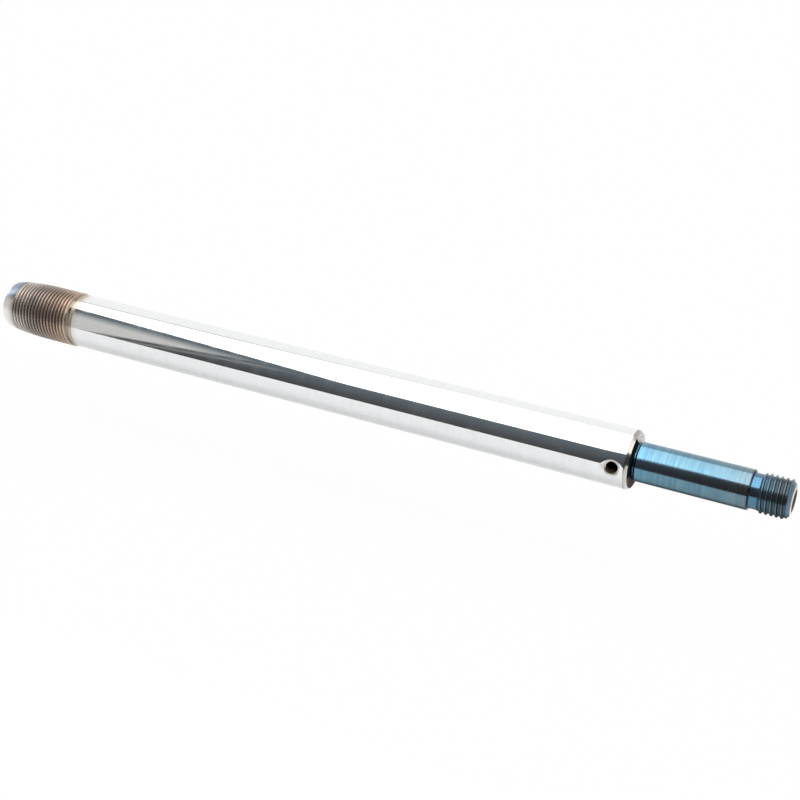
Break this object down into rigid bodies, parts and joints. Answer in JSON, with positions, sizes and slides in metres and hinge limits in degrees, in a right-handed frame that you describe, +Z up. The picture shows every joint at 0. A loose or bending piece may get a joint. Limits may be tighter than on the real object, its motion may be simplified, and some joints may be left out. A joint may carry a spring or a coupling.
{
  "type": "chrome piston rod",
  "caption": "Hollow chromed damper rod with a fine clevis thread, a countersunk cross port, a shouldered blued piston shank and a threaded tip.",
  "frame": {"origin": "centre of the shoulder face that the piston seats on, on the axis of the bore", "axes": "+X along the rod towards the threaded tip, -Y the side of the cross port, +Z up"},
  "size_m": [0.2753, 0.0186, 0.0186],
  "materials": {
    "hard_chrome": "polished hard chrome, with a blued shank and bare brown threads"
  },
  "bodies": {
    "root": {"piston_rod": "hard_chrome"}
  },
  "joints": []
}
